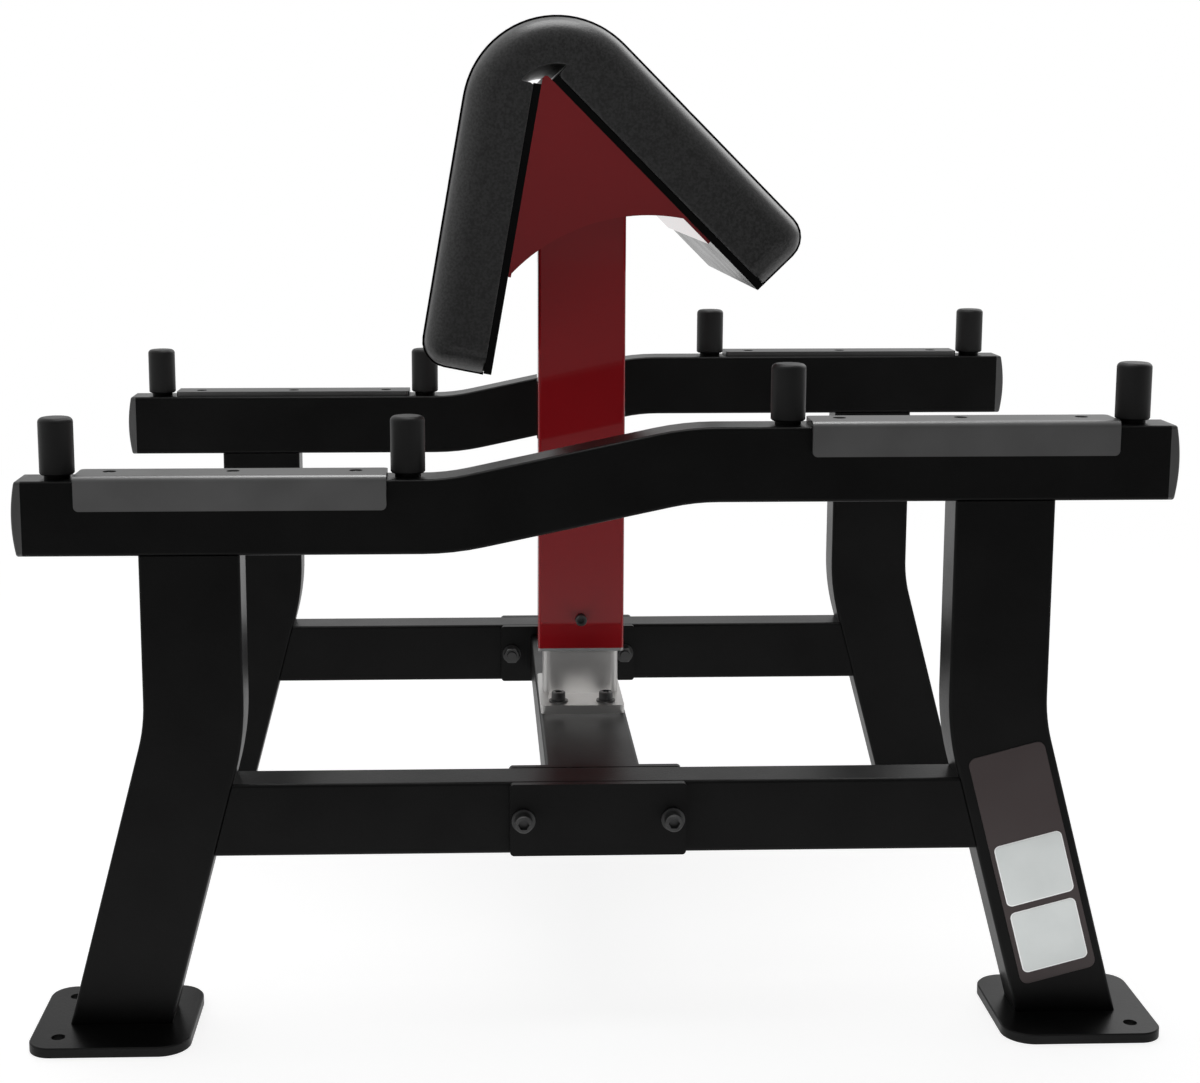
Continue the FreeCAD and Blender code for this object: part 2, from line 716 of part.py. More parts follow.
nodes["clamp_bolts"], nodes["clamp_washers"], nodes["clamp_nuts"] = clamp_hardware()
nodes["cross_beam"] = cross_beam()
nodes["post_base_plate"] = post_base_plate()
nodes["base_screws"], nodes["base_washers"] = base_hardware()
nodes["post_stub"] = post_stub()
nodes["post_collar"] = post_collar()
nodes["post_screw"] = post_screw()
nodes["pad_post"] = pad_post()
nodes["pad_screws"] = pad_screws()
nodes["arm_pad"] = arm_pad()

for name, shape in nodes.items():
    shape.exportStep("parts/" + name + ".step")
    print(name, len(shape.Solids), "solids", "valid" if shape.isValid() else "NOT VALID")
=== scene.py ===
# %% [markdown]
# # Preacher curl bench: finishes, pad and studio
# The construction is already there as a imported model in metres: side frames of bent tube, a red post,
# a saddle, boards, pegs and screws. This lesson loads it as a fixed frame, sets up the camera, gives every
# piece its finish, builds the soft cover and the film plate on top of it, and sets up the studio light.

# %% Load the frame
import json
import bpy
import numpy as np
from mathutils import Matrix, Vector


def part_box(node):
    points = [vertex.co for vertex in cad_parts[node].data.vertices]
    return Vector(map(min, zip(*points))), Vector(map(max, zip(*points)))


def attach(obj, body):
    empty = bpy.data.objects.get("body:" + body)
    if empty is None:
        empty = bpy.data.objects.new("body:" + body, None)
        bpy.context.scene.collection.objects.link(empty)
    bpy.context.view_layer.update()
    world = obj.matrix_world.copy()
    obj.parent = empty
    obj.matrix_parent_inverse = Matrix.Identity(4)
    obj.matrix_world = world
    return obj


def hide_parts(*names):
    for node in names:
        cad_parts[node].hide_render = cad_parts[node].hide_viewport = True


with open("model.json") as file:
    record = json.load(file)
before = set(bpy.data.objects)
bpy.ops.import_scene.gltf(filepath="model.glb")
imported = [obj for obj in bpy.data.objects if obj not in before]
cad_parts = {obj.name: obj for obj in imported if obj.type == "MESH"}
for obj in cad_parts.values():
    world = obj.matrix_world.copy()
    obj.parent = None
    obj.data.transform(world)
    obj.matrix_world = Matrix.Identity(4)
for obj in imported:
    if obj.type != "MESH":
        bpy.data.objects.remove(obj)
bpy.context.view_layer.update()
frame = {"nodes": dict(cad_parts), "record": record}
scene = bpy.context.scene
nodes = frame["nodes"]
slot_of = {row["node"]: row["material_slot"] for row in frame["record"]["subparts"]}
print("loaded", len(nodes), "pieces in", len(set(slot_of.values())), "finishes")

# %% [markdown]
# ## Camera
# The picture is taken from in front of the right side frame, a little towards the low end, with the lens
# at about chest height and tilted slightly down. The position, turn and focal length come from straight
# edges of known length, so the frame falls where it does in the picture. The lens shift moves the picture
# sideways and down without turning the camera, which keeps the upright edges as they are.

# %% Camera
camera_place = Vector((-0.11993, -2.33047, 0.8919))
camera_turn, camera_tilt = -0.0322, 0.1647
focal_length, sensor_width = 60.72, 36.0
shift_across, shift_up = 0.0484, -0.04633
camera = bpy.data.objects.new("camera", bpy.data.cameras.new("camera"))
camera.location = camera_place
camera.rotation_euler = (np.pi / 2 - camera_tilt, 0, camera_turn)
camera.data.lens = focal_length
camera.data.sensor_width = sensor_width
camera.data.sensor_fit = "HORIZONTAL"
camera.data.shift_x = shift_across
camera.data.shift_y = shift_up
scene.collection.objects.link(camera)
scene.camera = camera
print("camera", [round(v, 3) for v in camera.location], "lens", camera.data.lens)

# %% [markdown]
# ## Mesh helpers
# Every new piece is a grid of points worked out with whole numpy arrays. `grid_faces` joins the points
# of such a grid into quads, and `add_piece` turns arrays into a Blender object whose place is in its mesh.


# %% Mesh helpers
def grid_faces(ids, closed=False):
    """Quads between neighbouring rows and columns of points; closed joins the last row to the first."""
    low = ids if closed else ids[:-1]
    high = np.roll(ids, -1, axis=0) if closed else ids[1:]
    return np.stack([low[:, :-1], high[:, :-1], high[:, 1:], low[:, 1:]], axis=-1).reshape(-1, 4)


def add_piece(name, points, faces, smooth=True):
    """Object at the origin from an array of points and a list of faces."""
    mesh = bpy.data.meshes.new(name)
    mesh.from_pydata(np.asarray(points).tolist(), [], [list(map(int, face)) for face in faces])
    mesh.polygons.foreach_set("use_smooth", np.full(len(mesh.polygons), smooth))
    mesh.update()
    piece = bpy.data.objects.new(name, mesh)
    scene.collection.objects.link(piece)
    return piece


print("helpers ready: grid_faces, add_piece")

# %% [markdown]
# ## Shader helpers
# A finish is a small tree of nodes. `start_material` makes the tree with its Principled shader, and `node`
# adds one node, sets its values and links its inputs. `remap` and `colour_ramp` turn one value into another
# value or a colour. Patterns read Object coordinates, in metres, so one pattern has the same grain size on
# every piece.


# %% Shader helpers
def node(tree, kind, values=None, links=None, **settings):
    """One node of a tree: settings are its options, values fill its sockets, links join its inputs."""
    made = tree.nodes.new(kind)
    for option, value in settings.items():
        setattr(made, option, value)
    for socket, value in (values or {}).items():
        made.inputs[socket].default_value = value
    for socket, source in (links or {}).items():
        tree.links.new(source, made.inputs[socket])
    return made


def start_material(name, **values):
    """Material with a Principled shader whose plain numbers and colours are set on its own sockets."""
    material = bpy.data.materials.new(name)
    material.use_nodes = True
    tree = material.node_tree
    tree.nodes.clear()
    shader = node(tree, "ShaderNodeBsdfPrincipled", values)
    node(tree, "ShaderNodeOutputMaterial", links={"Surface": shader.outputs["BSDF"]})
    return material, tree, shader


def remap(tree, source, low, high, first, last, smooth=False):
    """Value that runs from first to last while the source runs from low to high; smooth eases both ends."""
    values = {"From Min": low, "From Max": high, "To Min": first, "To Max": last}
    easing = "SMOOTHSTEP" if smooth else "LINEAR"
    made = node(tree, "ShaderNodeMapRange", values, {"Value": source}, interpolation_type=easing)
    return made.outputs["Result"]


def colour_ramp(tree, source, stops):
    """Colour that follows a value: stops gives the colour at each place along the ramp."""
    ramp = node(tree, "ShaderNodeValToRGB", links={"Fac": source})
    elements = ramp.color_ramp.elements
    while len(elements) < len(stops):
        elements.new(0.5)
    for element, (spot, colour) in zip(elements, stops.items()):
        element.position = spot
        element.color = colour
    return ramp.outputs["Color"]


def grey(level):
    """Opaque grey of one level."""
    return (level, level, level, 1.0)


print("helpers ready: node, start_material, remap, colour_ramp, grey")

# %% [markdown]
# ## Shared effect: fine grain
# Powder coat, moulded plastic and vinyl all have a skin of tiny bumps. Two noises of different size, added
# together, give a height for the bump, and a slow cloud gives a mask for the small changes of gloss and
# shade. It is one node group, and each finish sets its own grain size.

# %% Fine grain group
coarse_ratio, coarse_share = 0.35, 0.5


def make_grain_group():
    """Group: height = fine noise plus a share of a coarser one; cloud = slow noise over many grains."""
    group = bpy.data.node_groups.new("fine grain", "ShaderNodeTree")
    face = group.interface
    face.new_socket("Grain Scale", in_out="INPUT", socket_type="NodeSocketFloat")
    face.new_socket("Cloud Scale", in_out="INPUT", socket_type="NodeSocketFloat")
    face.new_socket("Height", in_out="OUTPUT", socket_type="NodeSocketFloat")
    face.new_socket("Cloud", in_out="OUTPUT", socket_type="NodeSocketFloat")
    ins = group.nodes.new("NodeGroupInput")
    place = node(group, "ShaderNodeTexCoord").outputs["Object"]
    fine = node(group, "ShaderNodeTexNoise", {"Detail": 3.0, "Roughness": 0.6},
                {"Vector": place, "Scale": ins.outputs["Grain Scale"]})
    coarse_scale = node(group, "ShaderNodeMath", {1: coarse_ratio}, {0: ins.outputs["Grain Scale"]},
                        operation="MULTIPLY")
    coarse = node(group, "ShaderNodeTexNoise", {"Detail": 1.0},
                  {"Vector": place, "Scale": coarse_scale.outputs[0]})
    height = node(group, "ShaderNodeMath", {1: coarse_share},
                  {0: coarse.outputs["Fac"], 2: fine.outputs["Fac"]}, operation="MULTIPLY_ADD")
    cloud = node(group, "ShaderNodeTexNoise", {"Detail": 4.0},
                 {"Vector": place, "Scale": ins.outputs["Cloud Scale"]})
    node(group, "NodeGroupOutput", links={"Height": height.outputs[0], "Cloud": cloud.outputs["Fac"]})
    return group


fine_grain = make_grain_group()
print("group ready:", fine_grain.name)

# %% Grained finish
cloud_low, cloud_high = 0.3, 0.7


def add_grain(tree, shader, grain_scale, cloud_scale, bump_strength, bump_depth, rough_low, rough_high):
    """Places the grain group: its height feeds a bump, its cloud sets the roughness between two levels."""
    grain = node(tree, "ShaderNodeGroup", {"Grain Scale": grain_scale, "Cloud Scale": cloud_scale},
                 node_tree=fine_grain)
    bump = node(tree, "ShaderNodeBump", {"Strength": bump_strength, "Distance": bump_depth},
                {"Height": grain.outputs["Height"]})
    gloss = remap(tree, grain.outputs["Cloud"], cloud_low, cloud_high, rough_low, rough_high)
    tree.links.new(bump.outputs["Normal"], shader.inputs["Normal"])
    tree.links.new(gloss, shader.inputs["Roughness"])
    return grain


def grained_finish(name, skin, dark, light, **values):
    """Material with the shared grain, and a base colour between two close shades chosen by its cloud."""
    material, tree, shader = start_material(name, **values)
    grain = add_grain(tree, shader, **skin)
    shade = colour_ramp(tree, grain.outputs["Cloud"], {cloud_low: dark, cloud_high: light})
    tree.links.new(shade, shader.inputs["Base Color"])
    return material


print("helpers ready: add_grain, grained_finish")

# %% [markdown]
# ## Paints
# The side frames are satin black powder coat with an orange peel fine enough to show only in its
# reflections. The post and the saddle are gloss dark red under clear lacquer. The post's red is darker
# than the saddle's as painted shade, for the shade under the pad. One flat colour would do from afar, but
# close shades and a little grain keep large faces from looking dead.

# %% Frame and red paint
powder_skin = dict(grain_scale=620.0, cloud_scale=14.0, bump_strength=0.22, bump_depth=0.0006,
                   rough_low=0.28, rough_high=0.34)
lacquer_skin = dict(grain_scale=260.0, cloud_scale=6.0, bump_strength=0.01, bump_depth=0.0002,
                    rough_low=0.03, rough_high=0.05)
lacquer = {"Coat Weight": 0.3, "Coat Roughness": 0.015}
saddle_reds = (0.178, 0.0056, 0.0080, 1.0), (0.193, 0.0063, 0.0089, 1.0)
# The post's red is darker than the saddle's: painted shade, for the shade under the pad.
post_reds_painted_shade = (0.142, 0.0046, 0.0066, 1.0), (0.155, 0.0052, 0.0073, 1.0)

finishes = {
    "frame_paint": grained_finish("satin black powder coat", powder_skin, grey(0.0026), grey(0.0036),
                                  **{"Specular IOR Level": 0.12}),
    "red_paint": grained_finish("gloss dark red paint", lacquer_skin, *saddle_reds, **lacquer),
}
# The post's own material carries that darker red: painted shade.
painted_shade_finish = {"pad_post": grained_finish("gloss red paint with painted shade", lacquer_skin, *post_reds_painted_shade, **lacquer)}
print("paints:", [paint.name for paint in (*finishes.values(), *painted_shade_finish.values())])

# %% [markdown]
# ## Moulded plastics
# The rail caps, the peg sleeves and the collar under the post are moulded plastic of three greys. They share
# one moulded skin, and differ in shade, shine and grain. Three trees written out would repeat the same steps,
# so a table holds what differs.

# %% Moulded plastics
plastics = {
    "cap_plastic": dict(name="grey rail cap", specular=0.35, shades=(0.044, 0.050),
                        grain=600.0, bump=0.14),
    "sleeve_plastic": dict(name="black peg sleeve", specular=0.25, shades=(0.0058, 0.0074),
                           grain=800.0, bump=0.16),
    "collar_plastic": dict(name="pale collar bush", specular=0.5, shades=(0.15, 0.18),
                           grain=700.0, bump=0.08),
}
moulded_skin = dict(cloud_scale=22.0, bump_depth=0.0005, rough_low=0.40, rough_high=0.48)
for slot, row in plastics.items():
    skin = dict(moulded_skin, grain_scale=row["grain"], bump_strength=row["bump"])
    dark, light = (grey(level) for level in row["shades"])
    finishes[slot] = grained_finish(row["name"], skin, dark, light, **{"Specular IOR Level": row["specular"]})
print("plastics:", [row["name"] for row in plastics.values()])

# %% [markdown]
# ## Bar rests, metals and boards
# The bar rests are a satin grey with a metallic sheen, held back at grazing angles by a grey edge tint. The
# post's base and stub are bright zinc, the screws and bolts black oxide, and the peg pins and boards black.
# Here the skins differ as well, so each row of the table has its own.

# %% Bar rests, metals and boards
hard_finishes = {
    "rest_plastic": ("satin grey bar rest", grey(0.165), grey(0.180),
                     {"Metallic": 0.97, "Specular Tint": grey(0.66)},
                     dict(grain_scale=700.0, cloud_scale=22.0, bump_strength=0.06, bump_depth=0.0005,
                          rough_low=0.32, rough_high=0.38)),
    "bracket_metal": ("bright zinc", (0.54, 0.53, 0.52, 1.0), (0.60, 0.59, 0.58, 1.0), {"Metallic": 0.95},
                      dict(grain_scale=420.0, cloud_scale=9.0, bump_strength=0.06, bump_depth=0.0004,
                           rough_low=0.34, rough_high=0.40)),
    "fastener_steel": ("black oxide steel", grey(0.075), grey(0.105), {"Metallic": 1.0},
                       dict(grain_scale=900.0, cloud_scale=60.0, bump_strength=0.10, bump_depth=0.0003,
                            rough_low=0.34, rough_high=0.46)),
    "pin_steel": ("black peg pin", grey(0.0010), grey(0.0016), {"Specular IOR Level": 0.1},
                  dict(grain_scale=800.0, cloud_scale=40.0, bump_strength=0.08, bump_depth=0.0004,
                       rough_low=0.30, rough_high=0.38)),
    "pad_board": ("black painted board", grey(0.0008), grey(0.0012), {"Specular IOR Level": 0.15},
                  dict(grain_scale=500.0, cloud_scale=18.0, bump_strength=0.10, bump_depth=0.0004,
                       rough_low=0.20, rough_high=0.28)),
}
for slot, (name, dark, light, shine, skin) in hard_finishes.items():
    finishes[slot] = grained_finish(name, skin, dark, light, **shine)
print("bar rests, metals and boards:", [row[0] for row in hard_finishes.values()])

# %% [markdown]
# ## Vinyl
# The cover is black vinyl with a fine leather grain: small domed cells divided by shallow creases. A cell
# texture gives the domes, and the shared grain adds the skin on each of them. A fine noise in the base colour
# paints light flecks as painted glints, for the sparkle the grain shows in reflections, which a bump alone
# would lose in even light.

# %% Vinyl finish
cell_scale, cell_middle, cell_edge = 560.0, 0.15, 0.75
skin_scale, skin_share = 1500.0, 0.35
crease_rough, dome_rough = 0.36, 0.28
# Light flecks in the base colour: painted glints of the grain.
painted_glint_low, painted_glint_high, painted_glint_dark, painted_glint_light = 0.36, 0.64, 0.0005, 0.0210


def make_vinyl():
    """Height: a dome in the middle of each cell, falling to the creases, plus a share of the fine grain. The
    domes are smoother than the creases, and a fine noise in the base colour paints light flecks as painted
    glints."""
    material, tree, shader = start_material("black grained vinyl", **{"Specular IOR Level": 0.75})
    grain = node(tree, "ShaderNodeGroup", {"Grain Scale": skin_scale}, node_tree=fine_grain)
    place = node(tree, "ShaderNodeTexCoord").outputs["Object"]
    cells = node(tree, "ShaderNodeTexVoronoi", {"Scale": cell_scale, "Randomness": 1.0}, {"Vector": place},
                 feature="F1")
    dome = remap(tree, cells.outputs["Distance"], cell_middle, cell_edge, 1.0, 0.0)
    height = node(tree, "ShaderNodeMath", {1: skin_share}, {0: grain.outputs["Height"], 2: dome},
                  operation="MULTIPLY_ADD")
    bump = node(tree, "ShaderNodeBump", {"Strength": 0.12, "Distance": 0.0005}, {"Height": height.outputs[0]})
    gloss = remap(tree, dome, 0.0, 1.0, crease_rough, dome_rough)
    tree.links.new(bump.outputs["Normal"], shader.inputs["Normal"])
    tree.links.new(gloss, shader.inputs["Roughness"])
    # Painted glints: a fine noise lightens the base colour in flecks.
    painted_glint = node(tree, "ShaderNodeTexNoise", {"Scale": 400.0, "Detail": 2.0}, {"Vector": place})
    shade = remap(tree, painted_glint.outputs["Fac"], painted_glint_low, painted_glint_high, painted_glint_dark, painted_glint_light)
    tree.links.new(shade, shader.inputs["Base Color"])
    return material


finishes["pad_vinyl"] = make_vinyl()
print("finishes:", sorted(finishes))

# %% [markdown]
# ## Finishes on the frame
# Each piece of the frame says in its record which finish it has, so one loop dresses them all. The post is
# the only piece with a finish of its own: the darker red with painted shade. The meshes stay as they are:
# only the material slot changes.

# %% Dress the frame
for name, piece in nodes.items():
    piece.data.materials.clear()
    piece.data.materials.append(painted_shade_finish.get(name, finishes[slot_of[name]]))
print("dressed", len(nodes), "pieces")

# %% [markdown]
# ## Arm pad
# The cushion folds over the top of the saddle: two flat arms joined by a round, with a hollow in the fold, a
# rounded lower edge at each end and soft edges along both sides. Its side view is an outline of straight
# lines and arcs. The skin is that outline carried across the width, and near each side the outline shrinks
# by a quarter circle, which makes the soft edge. A box with bevelled edges would be quicker, but it could not
# follow the fold.

# %% Pad sizes
apex = np.array((-0.0503, 0.9705))
front_angle, rear_angle = np.radians((10.0, 45.0))
arm_start, arm_end = 0.013, 0.3157
pad_inner, pad_outer = 0.008, 0.077
top_radius, hollow_radius = 0.097, 0.049
end_corner, side_edge = 0.026, 0.025
cover_shift = np.array((0.0013, 0.0007))
front_extra, rear_extra = 0.0021, 0.0018
pad_low, pad_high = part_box("arm_pad")
half_width = (pad_high.y - pad_low.y) / 2
half_apex = (front_angle + rear_angle) / 2
fold_depth = top_radius - pad_outer
fold_along = fold_depth / np.tan(half_apex)
fold_turn = np.pi / 2 - half_apex
print("pad width", round(2 * half_width, 4), "fold turn", round(np.degrees(2 * fold_turn), 1), "degrees")

# %% Pad outline
corner_steps, flat_steps, bend_steps, wall_steps, fold_steps = 6, 34, 5, 2, 9
lead_steps = 2
thickness_steps = 8
bend_along = 0.050
wall_turns = np.radians((14.0, 18.0))


def chain(*stretches):
    """Joins stretches of (along, out) points; each stretch after the first leaves out its first point."""
    return np.concatenate([stretches[0]] + [stretch[1:] for stretch in stretches[1:]])


def line(start, end, steps):
    """Straight stretch: even steps from one point to another."""
    t = np.linspace(0, 1, steps + 1)[:, None]
    return np.array(start) * (1 - t) + np.array(end) * t


def arc(centre, radius, first, last, steps):
    """Round stretch: from the centre back by the radius times the sine of the angle, and outward by the
    radius times its cosine, so the angle grows towards the fold."""
    angle = np.linspace(first, last, steps + 1)
    return np.stack([centre[0] - radius * np.sin(angle), centre[1] + radius * np.cos(angle)], axis=1)


def arm_chains(inset, arm_end):
    """Inner and outer chain of an arm, from its end to the middle of the fold; inset shrinks the outside."""
    fold = (fold_along, -fold_depth)
    wall_turn = np.arcsin((fold_along - arm_start) / hollow_radius)
    wall_top = hollow_radius * np.cos(wall_turn) - fold_depth
    corner = (arm_end - end_corner, pad_outer - end_corner)
    top = pad_outer - inset
    inner = chain(line((arm_end - inset, pad_inner), (corner[0], pad_inner), corner_steps),
                  line((corner[0], pad_inner), (bend_along, pad_inner), flat_steps),
                  line((bend_along, pad_inner), (arm_start, pad_inner), bend_steps),
                  line((arm_start, pad_inner), (arm_start, wall_top), wall_steps),
                  arc(fold, hollow_radius, wall_turn, fold_turn, fold_steps))
    outer = chain(arc(corner, end_corner - inset, -np.pi / 2, 0, corner_steps),
                  line((corner[0], top), (bend_along, top), flat_steps),
                  line((bend_along, top), (fold_along, top), lead_steps),
                  arc(fold, top_radius - inset, 0, wall_turns[0], bend_steps - lead_steps),
                  arc(fold, top_radius - inset, *wall_turns, wall_steps),
                  arc(fold, top_radius - inset, wall_turns[1], fold_turn, fold_steps))
    return inner, outer


def side_lattice(inset):
    """Side view as a lattice of (x, z): rows from front end to rear end, columns in even steps from the inner
    chain to the outer one."""
    t = np.linspace(0, 1, thickness_steps + 1)[None, :, None]
    sin_f, cos_f = np.sin(front_angle), np.cos(front_angle)
    sin_r, cos_r = np.sin(rear_angle), np.cos(rear_angle)
    front_axes = np.array([(-sin_f, -cos_f), (-cos_f, sin_f)])
    rear_axes = np.array([(cos_r, -sin_r), (sin_r, cos_r)])
    arms = []
    for end, axes in ((arm_end + front_extra, front_axes), (arm_end + rear_extra, rear_axes)):
        inner, outer = (apex + stretch @ axes for stretch in arm_chains(inset, end))
        arms.append(inner[:, None] * (1 - t) + (outer + cover_shift)[:, None] * t)
    front, rear = arms
    return np.concatenate([front, rear[-2::-1]])


print("side lattice", side_lattice(0.0).shape)

# %% Pad skin
flat_columns, edge_columns = 56, 5
skin_columns = flat_columns + 2 * edge_columns + 1


def pad_surface():
    """Closed skin: the rim of the side lattice carried across the width, shrinking by a quarter circle at
    each side, and the lattice itself as the two side faces. All faces point outwards."""
    quarter = np.linspace(0, np.pi / 2, edge_columns + 1)
    edge_y = half_width - side_edge * (1 - np.sin(quarter))
    edge_inset = side_edge * (1 - np.cos(quarter))
    middle_y = np.linspace(-edge_y[0], edge_y[0], flat_columns + 1)
    across = np.concatenate([-edge_y[:0:-1], middle_y, edge_y[1:]])
    insets = np.concatenate([edge_inset[:0:-1], np.zeros(flat_columns + 1), edge_inset[1:]])
    lattices = np.stack([side_lattice(inset) for inset in insets])
    rows, columns = lattices.shape[1:3]
    number = np.arange(rows * columns).reshape(rows, columns)
    rim = np.concatenate([number[:, 0], number[-1, 1:], number[-2::-1, -1], number[0, -2:0:-1]])
    flat = lattices.reshape(len(across), -1, 2)
    skin = flat[:, rim]
    level = np.broadcast_to(across[:, None], skin.shape[:2])
    points = np.stack([skin[..., 0], level, skin[..., 1]], axis=-1).reshape(-1, 3)
    ids = np.arange(len(points)).reshape(len(across), len(rim)).T
    faces = [grid_faces(ids, closed=True)[:, ::-1]]
    inside = np.setdiff1d(number, rim)
    for column, flip in ((0, False), (len(across) - 1, True)):
        side_ids = np.empty(rows * columns, int)
        side_ids[rim] = ids[:, column]
        side_ids[inside] = len(points) + np.arange(len(inside))
        inner = flat[column, inside]
        level = np.full(len(inside), across[column])
        points = np.concatenate([points, np.stack([inner[:, 0], level, inner[:, 1]], axis=1)])
        quads = grid_faces(side_ids.reshape(rows, columns))
        faces.append(quads[:, ::-1] if flip else quads)
    return points, np.concatenate(faces), len(rim), rows


pad_points, pad_faces, rim_length, pad_rows = pad_surface()
arm_pad = add_piece("arm_pad_cover", pad_points, pad_faces)
print("pad skin:", len(pad_points), "points,", len(pad_faces), "faces")

# %% [markdown]
# ## Crown of the pad
# Foam presses a cover outwards, so the faces of a pad are slightly crowned. A sculpted bulge would be a
# guess. Here the skin is a cloth, held where it lies on the boards, and a little air pressure inside blows
# it up. The crown on the bench is small, so the whole result is scaled down to a cap.

# %% Pad cloth step
swell_pressure, swell_frames, swell_cap = 1.0, 16, 0.0018
cover_stiffness, cloth_quality = 80.0, 4


def swell(piece, held):
    """Blows a closed skin up: cloth under pressure, without gravity, pinned at the held points. All moves are
    then scaled together, so that the furthest one is the cap, and no cloth stays on the piece."""
    pins = piece.vertex_groups.new(name="held")
    pins.add(held.tolist(), 1.0, "REPLACE")
    cloth = piece.modifiers.new("swell", "CLOTH")
    cloth.settings.use_pressure = True
    cloth.settings.uniform_pressure_force = swell_pressure
    cloth.settings.effector_weights.gravity = 0.0
    cloth.settings.vertex_group_mass = pins.name
    cloth.settings.quality = cloth_quality
    for stiffness in ("tension", "compression", "shear"):
        setattr(cloth.settings, stiffness + "_stiffness", cover_stiffness)
    cloth.point_cache.frame_start = 1
    cloth.point_cache.frame_end = swell_frames
    for step in range(1, swell_frames + 1):
        scene.frame_set(step)
    blown = piece.evaluated_get(bpy.context.evaluated_depsgraph_get()).data
    start, end = np.empty((2, len(piece.data.vertices) * 3))
    piece.data.vertices.foreach_get("co", start)
    blown.vertices.foreach_get("co", end)
    move = (end - start).reshape(-1, 3)
    move *= swell_cap / np.linalg.norm(move, axis=1).max()
    piece.modifiers.remove(cloth)
    piece.vertex_groups.remove(pins)
    piece.data.vertices.foreach_set("co", start + move.ravel())
    piece.data.update()
    scene.frame_set(1)
    return np.linalg.norm(move, axis=1)


held = (np.arange(skin_columns)[:, None] * rim_length + np.arange(pad_rows)).ravel()
moved = swell(arm_pad, held) * 1000
print("cover swelled: median", round(float(np.median(moved)), 2), "mm, most",
      round(float(moved.max()), 2), "mm")
smooth = arm_pad.modifiers.new("soft skin", "SUBSURF")
smooth.levels = smooth.render_levels = 1
print("soft skin at level", smooth.levels)

# %% [markdown]
# ## Pad seam
# The side panel and the outer panel of the cover are sewn together where the soft edge begins, and the thin
# black welt of that seam runs once round the outside of each side. It could be drawn with a colour in the
# vinyl, but then it would not stand out at the edge of the pad. Here it is a tube: a small circle carried
# along the points of the finished cover.

# %% Pad seam
welt_radius, welt_proud, welt_sides = 0.0015, 0.0016, 10
welt_skin = dict(grain_scale=1400.0, cloud_scale=60.0, bump_strength=0.2, bump_depth=0.0003,
                 rough_low=0.70, rough_high=0.80)


def welt_surface(path):
    """Tube: at each path point a circle, the cosine of the turn times the outward direction plus its sine
    times the width's direction, times the welt's radius."""
    along = np.gradient(path, axis=0)
    outward = np.stack([along[:, 2], np.zeros(len(path)), -along[:, 0]], axis=1)
    outward /= np.linalg.norm(outward, axis=1)[:, None]
    middle = path + outward * (welt_proud - welt_radius)
    turn = np.arange(welt_sides) * 2 * np.pi / welt_sides
    across = np.array((0.0, 1.0, 0.0))
    ring = np.cos(turn)[:, None, None] * outward + np.sin(turn)[:, None, None] * across
    return (middle + welt_radius * ring).reshape(-1, 3)


cover = np.empty(len(arm_pad.data.vertices) * 3)
arm_pad.data.vertices.foreach_get("co", cover)
skin = cover.reshape(-1, 3)[:rim_length * skin_columns].reshape(skin_columns, rim_length, 3)
seam_path = np.concatenate([[pad_rows - 1], np.arange(pad_rows, rim_length), [0]])
welt_ids = np.arange(welt_sides * len(seam_path)).reshape(welt_sides, -1)
welt_points, welt_faces = [], []
for side, column in enumerate((edge_columns, edge_columns + flat_columns)):
    ids = welt_ids + side * welt_ids.size
    welt_points.append(welt_surface(skin[column, seam_path]))
    welt_faces += grid_faces(ids, closed=True).tolist() + [ids[::-1, 0].tolist(), ids[:, -1].tolist()]
pad_welt = add_piece("arm_pad_welt", np.concatenate(welt_points), welt_faces)
welt_finish = grained_finish("black seam welt", welt_skin, grey(0.0010), grey(0.0016),
                             **{"Specular IOR Level": 0.04})
pad_welt.data.materials.append(welt_finish)
print("welt:", len(pad_welt.data.polygons), "faces")

# %% [markdown]
# ## Placard
# The right rear leg carries a dark film plate with two pale panels. Each layer is a rounded rectangle with a
# fine bevel, turned with the leg and laid on its face. A single flat plane would be the quick way, but its
# edge would not catch the light.

# %% Placard layers
placard_turn = np.radians(15.0)
placard_across = np.array((np.cos(placard_turn), np.sin(placard_turn)))
placard_up = np.array((-np.sin(placard_turn), np.cos(placard_turn)))
corner_points = 9
leg_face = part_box("right_rear_leg")[0].y


def rounded_outline(width, height, corner):
    """Rounded rectangle, once round: each quarter is an arc about the centre of its corner."""
    turn = np.linspace(0, np.pi / 2, corner_points) + np.arange(4)[:, None] * np.pi / 2
    middle_turn = turn.mean(axis=1)
    side = np.sign(np.cos(middle_turn))[:, None]
    level = np.sign(np.sin(middle_turn))[:, None]
    along = side * (width / 2 - corner) + corner * np.cos(turn)
    upward = level * (height / 2 - corner) + corner * np.sin(turn)
    return np.stack([along.ravel(), upward.ravel()], axis=1)


def label_plate(name, centre, size, corner, back, front, bevel, material, slot):
    """Plate as rings of one outline: back edge, front edge, and the front edge drawn in by the bevel."""
    rings = []
    for inset, depth in ((0.0, back), (0.0, front - bevel), (bevel, front)):
        flat = rounded_outline(size[0] - 2 * inset, size[1] - 2 * inset, corner - inset)
        spot = np.array(centre) + flat[:, :1] * placard_across + flat[:, 1:] * placard_up
        rings.append(np.stack([spot[:, 0], np.full(len(spot), leg_face - depth), spot[:, 1]], axis=1))
    ids = np.arange(len(rings) * len(rings[0])).reshape(len(rings), -1).T
    faces = grid_faces(ids, closed=True).tolist() + [ids[::-1, 0].tolist(), ids[:, -1].tolist()]
    piece = add_piece(name, np.concatenate(rings), faces, smooth=False)
    piece.data.materials.append(material)
    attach(piece, "root")
    return piece


print("placard on the leg's face at y", round(leg_face, 4))

